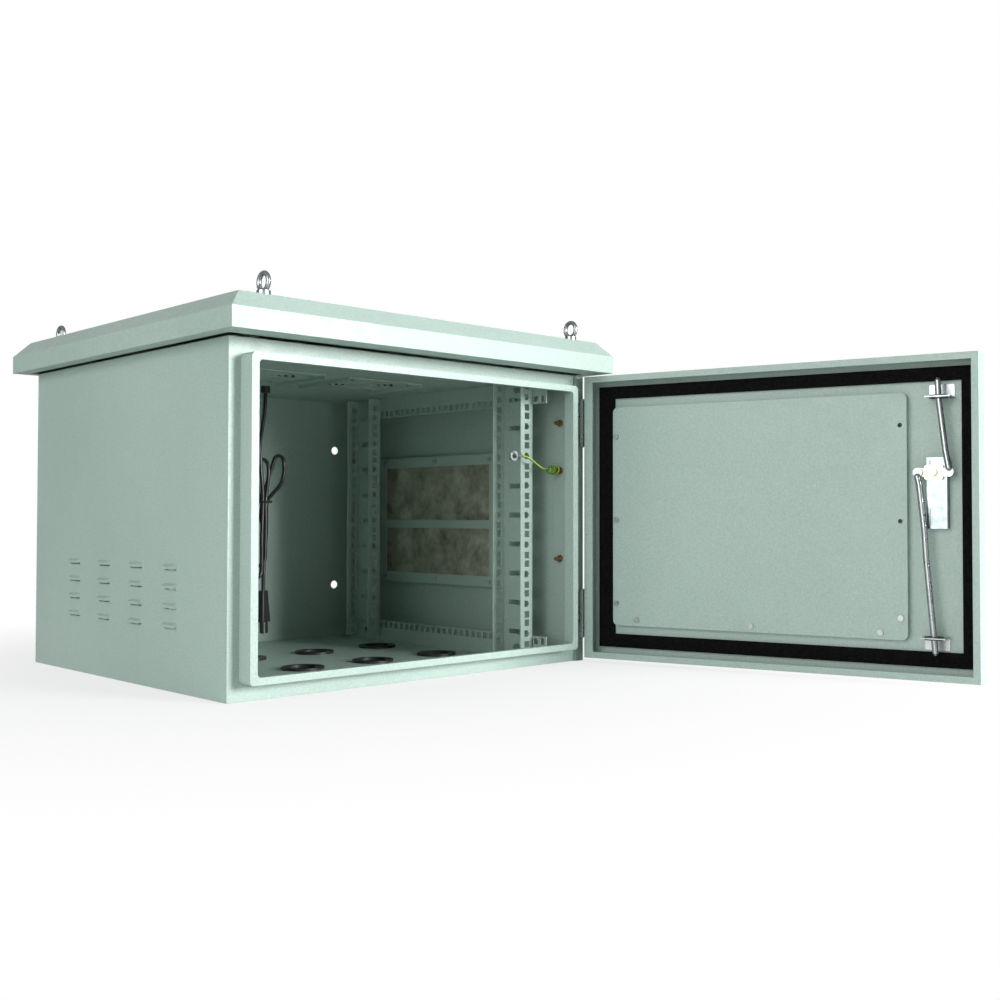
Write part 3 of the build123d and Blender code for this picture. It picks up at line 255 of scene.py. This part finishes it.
MATERIALS = {
    "powder_coat": powder_coat("powder_coat", MINT_DARK, MINT_LIGHT, 0.42),
    "zinc": metal("zinc", (0.44, 0.465, 0.47), 0.30),
    "chrome": metal("chrome", (0.30, 0.345, 0.355), 0.20, 0.05),
    "yellow_zinc": metal("yellow_zinc", (0.62, 0.60, 0.45), 0.30),
    "copper": metal("copper", (0.50, 0.27, 0.16), 0.42),
    "foam": foam(),
    "black_rubber": polymer("black_rubber", (0.016, 0.016, 0.017), 0.45),
    "black_plastic": polymer("black_plastic", (0.022, 0.022, 0.024), 0.38),
    "filter_mat": filter_mat(),
    "earth_sleeve": earth_sleeve(),
    "cord_sleeve": polymer("cord_sleeve", (0.012, 0.012, 0.013), 0.33),
}


def dress(piece, slot):
    """Gives a piece the material of a slot."""
    piece.data.materials.clear()
    piece.data.materials.append(MATERIALS[slot])


def dress_nodes():
    """Gives every CAD node its slot's material."""
    for entry in frame["record"]["subparts"]:
        dress(nodes[entry["node"]], entry["material_slot"])


# Power cord and earth wire

CORD_RADIUS = 3.0 * MM
HANK_AXIS = Vector((0.0, 0.119, 0.0))
HANK_TURN = math.radians(20.9)

# The route from the gland to the hank
CORD_ROUTE = [
    (0.0, 0.119, 0.412),
    (0.0, 0.119, 0.391),
    (-0.0035, 0.119, 0.366),
    (-0.009, 0.1165, 0.341),
    (-0.012, 0.1144, 0.326),
    (-0.012, 0.1144, 0.311),
]

FOLD_STEPS = 6


def fold(centre_u, centre_z, radius, towards, up, start_v, end_v):
    """Half a turn of the cord between two strands of the hank."""
    points = []
    for step in range(FOLD_STEPS + 1):
        share = step / FOLD_STEPS
        u = centre_u - towards * radius * math.cos(math.pi * share)
        z = centre_z + up * radius * math.sin(math.pi * share)
        points.append((u, start_v + (end_v - start_v) * share, z))
    return points


# The hank, in millimetres: along its width, across it, and height
HANK_ROUTE = [
    (-11.5, -1.5, 286),
    (-9.5, -3, 262),
    (-8.5, -3, 240),
    (-9.5, -3, 214),
    (-11, -3, 186),
    (-10.5, -3, 156),
    *fold(-23, 132.5, 12.5, -1, -1, -3, 0),
    (-34.5, 0, 156),
    (-29, 0.5, 184),
    (-17, 2, 214),
    (-8.5, 3, 240),
    (-12, 3, 258),
    (-16, 3, 278),
    *fold(-3, 294, 13, 1, 1, 3, 1),
    (9.5, 0.5, 279),
    (3, -1.5, 258),
    (-2.5, -3, 240),
    (-1, -3, 214),
    (-1.5, -3, 190),
    (-2, -3, 168),
    *fold(-14.5, 152, 12.5, -1, -1, -3, 2),
    (-26.5, 3, 168),
    (-20, 3, 192),
    (-9, 3, 216),
    (-2.5, 3, 240),
    (5, 3, 262),
    (15, 3, 282),
    *fold(37, 302, 12.5, 1, 1, 3, 1),
    (49, 0.5, 286),
    (40, 0, 267),
    (19, 0, 253),
    (3.5, 0, 240),
    (4.5, 0, 214),
    (4, 0, 186),
    (0, 0, 156),
    (-2.4, 0, 128),
    (-2.4, 0, 101),
]

EARTH_RADIUS = 1.5 * MM
COIL_START = Vector((0.280, -0.256, 0.287))
COIL_LENGTH = 24.0 * MM
COIL_RADIUS = 5.4 * MM
COIL_TURNS = 3
COIL_STEPS = 14

# The route from the coil to the ring terminal
EARTH_ROUTE = [
    (0.256, -0.255, 0.288),
    (0.248, -0.255, 0.288),
    (0.238, -0.253, 0.294),
    (0.227, -0.251, 0.302),
    (0.217, -0.249, 0.3065),
    (0.209, -0.249, 0.3065),
]


def spline_curve(name, points, radius, slot):
    """A round cord along one smooth spline through the route's control points."""
    curve = bpy.data.curves.new(name, "CURVE")
    curve.dimensions = "3D"
    spline = curve.splines.new("NURBS")
    spline.points.add(len(points) - 1)
    for control, place in zip(spline.points, points):
        control.co = (*place, 1.0)
    spline.order_u = 3
    spline.use_endpoint_u = True
    curve.resolution_u = 10
    curve.bevel_depth = radius
    curve.bevel_resolution = 4
    curve.use_fill_caps = True
    piece = bpy.data.objects.new(name, curve)
    bpy.context.scene.collection.objects.link(piece)
    dress(piece, slot)
    return piece


def hank_point(u, v, z):
    """A point of the hank in the row frame."""
    turn = Matrix.Rotation(HANK_TURN, 3, "Z")
    return tuple(HANK_AXIS + turn @ Vector((u * MM, v * MM, z * MM)))


def power_cord():
    """The power cord from its gland through the tied loops to the plug."""
    points = CORD_ROUTE[:-1] + [hank_point(*point) for point in HANK_ROUTE]
    piece = spline_curve("power_cord_line", points, CORD_RADIUS, "cord_sleeve")
    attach(piece, "cabinet")
    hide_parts("power_cord", "power_cord_hank")
    return piece


def coil_points():
    """The turns of the earth wire round its stud's line."""
    steps = COIL_TURNS * COIL_STEPS
    points = []
    for step in range(steps):
        angle = 2 * math.pi * step / COIL_STEPS
        along = COIL_LENGTH * (0.06 + 0.85 * step / steps)
        place = Vector((-along, COIL_RADIUS * math.cos(angle), COIL_RADIUS * math.sin(angle)))
        points.append(tuple(COIL_START + place))
    return points


def earth_wire():
    """The coiled earth wire up to its ring terminal."""
    points = coil_points() + EARTH_ROUTE
    piece = spline_curve("earth_wire_line", points, EARTH_RADIUS, "earth_sleeve")
    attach(piece, "cabinet")
    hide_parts("earth_wire", "earth_wire_coil")
    return piece


# Stage

FLOOR_HALF = 40.0
FLOOR_DROP = 0.0005
PICTURE_SIDE = 1000
SAMPLES = 96

# Studio light by height, from below the floor line to straight above
SKY = [
    (0.0, (0.5, 0.55, 0.53)),
    (0.2, (0.10, 0.12, 0.11)),
    (0.45, (1.0, 1.0, 1.0)),
    (1.0, (0.8, 0.85, 0.83)),
]

def place_camera():
    """The photograph's camera."""
    data = bpy.data.cameras.new("camera")
    data.sensor_width = 36.0
    data.lens = CAMERA_LENS
    data.shift_x, data.shift_y = CAMERA_SHIFT
    camera = bpy.data.objects.new("camera", data)
    camera.location = CAMERA_PLACE
    camera.rotation_euler = CAMERA_TURN
    bpy.context.scene.collection.objects.link(camera)
    bpy.context.scene.camera = camera


def area_light(name, place, target, size, power):
    """A soft square lamp that faces a point."""
    data = bpy.data.lights.new(name, "AREA")
    data.size = size
    data.energy = power
    lamp = bpy.data.objects.new(name, data)
    lamp.location = place
    lamp.rotation_euler = (Vector(target) - Vector(place)).to_track_quat("-Z", "Y").to_euler()
    bpy.context.scene.collection.objects.link(lamp)


def floor():
    """A wide pale floor that fades into the white backdrop."""
    mesh = bpy.data.meshes.new("floor")
    corners = [(-1, -1), (1, -1), (1, 1), (-1, 1)]
    mesh.from_pydata([(FLOOR_HALF * x, FLOOR_HALF * y, 0) for x, y in corners], [], [(0, 1, 2, 3)])
    piece = bpy.data.objects.new("floor", mesh)
    piece.location.z = -FLOOR_DROP
    bpy.context.scene.collection.objects.link(piece)
    material, tree, shader = new_material("floor")
    tree.links.new(
        ramp(tree, noise(tree, 2.0), [(0.3, (0.76, 0.77, 0.77)), (0.7, (0.80, 0.81, 0.81))]),
        shader.inputs["Base Color"],
    )
    shader.inputs["Roughness"].default_value = 0.9
    white = tree.nodes.new("ShaderNodeEmission")
    distance = tree.nodes.new("ShaderNodeVectorMath")
    distance.operation = "LENGTH"
    tree.links.new(coordinates(tree), distance.inputs[0])
    seen = tree.nodes.new("ShaderNodeMath")
    seen.operation = "MULTIPLY"
    path = tree.nodes.new("ShaderNodeLightPath")
    tree.links.new(path.outputs["Is Camera Ray"], seen.inputs[0])
    tree.links.new(spread(tree, distance.outputs["Value"], 0.35, 0.95, 0.70, 1.0), seen.inputs[1])
    mix = tree.nodes.new("ShaderNodeMixShader")
    tree.links.new(seen.outputs["Value"], mix.inputs["Fac"])
    tree.links.new(shader.outputs["BSDF"], mix.inputs[1])
    tree.links.new(white.outputs["Emission"], mix.inputs[2])
    surface = tree.nodes["Material Output"].inputs["Surface"]
    tree.links.new(mix.outputs["Shader"], surface)
    mesh.materials.append(material)


def world():
    """Even studio light that the camera sees as white."""
    scene_world = bpy.data.worlds.new("studio")
    bpy.context.scene.world = scene_world
    scene_world.use_nodes = True
    tree = scene_world.node_tree
    tree.nodes.clear()
    output = tree.nodes.new("ShaderNodeOutputWorld")
    seen = tree.nodes.new("ShaderNodeBackground")
    seen.inputs["Color"].default_value = (1.0, 1.0, 1.0, 1.0)
    seen.inputs["Strength"].default_value = 1.0
    light = tree.nodes.new("ShaderNodeBackground")
    height = tree.nodes.new("ShaderNodeSeparateXYZ")
    tree.links.new(tree.nodes.new("ShaderNodeTexCoord").outputs["Generated"], height.inputs["Vector"])
    sky = spread(tree, height.outputs["Z"], -0.2, 1.0, 0.0, 1.0)
    tree.links.new(
        ramp(tree, sky, SKY),
        light.inputs["Color"],
    )
    light.inputs["Strength"].default_value = 0.40
    path = tree.nodes.new("ShaderNodeLightPath")
    mix = tree.nodes.new("ShaderNodeMixShader")
    tree.links.new(path.outputs["Is Camera Ray"], mix.inputs["Fac"])
    tree.links.new(light.outputs["Background"], mix.inputs[1])
    tree.links.new(seen.outputs["Background"], mix.inputs[2])
    tree.links.new(mix.outputs["Shader"], output.inputs["Surface"])


def lights():
    """Two big soft lamps, one in front on the right and one on the left."""
    area_light("key", (1.35, -3.7, 0.95), (0.0, -0.2, 0.25), 1.1, 200.0)
    area_light("left", (-4.2, -1.2, 0.9), (-0.2, 0.0, 0.2), 3.4, 150.0)


def render_settings():
    """Square picture with the plain view transform."""
    scene = bpy.context.scene
    scene.render.engine = "CYCLES"
    scene.render.resolution_x = PICTURE_SIDE
    scene.render.resolution_y = PICTURE_SIDE
    scene.view_settings.view_transform = "Standard"
    scene.cycles.samples = SAMPLES
    scene.cycles.use_adaptive_sampling = True
    scene.cycles.adaptive_threshold = 0.03
    scene.cycles.use_denoising = True


dress_nodes()
place_camera()
power_cord()
earth_wire()
floor()
world()
lights()
render_settings()
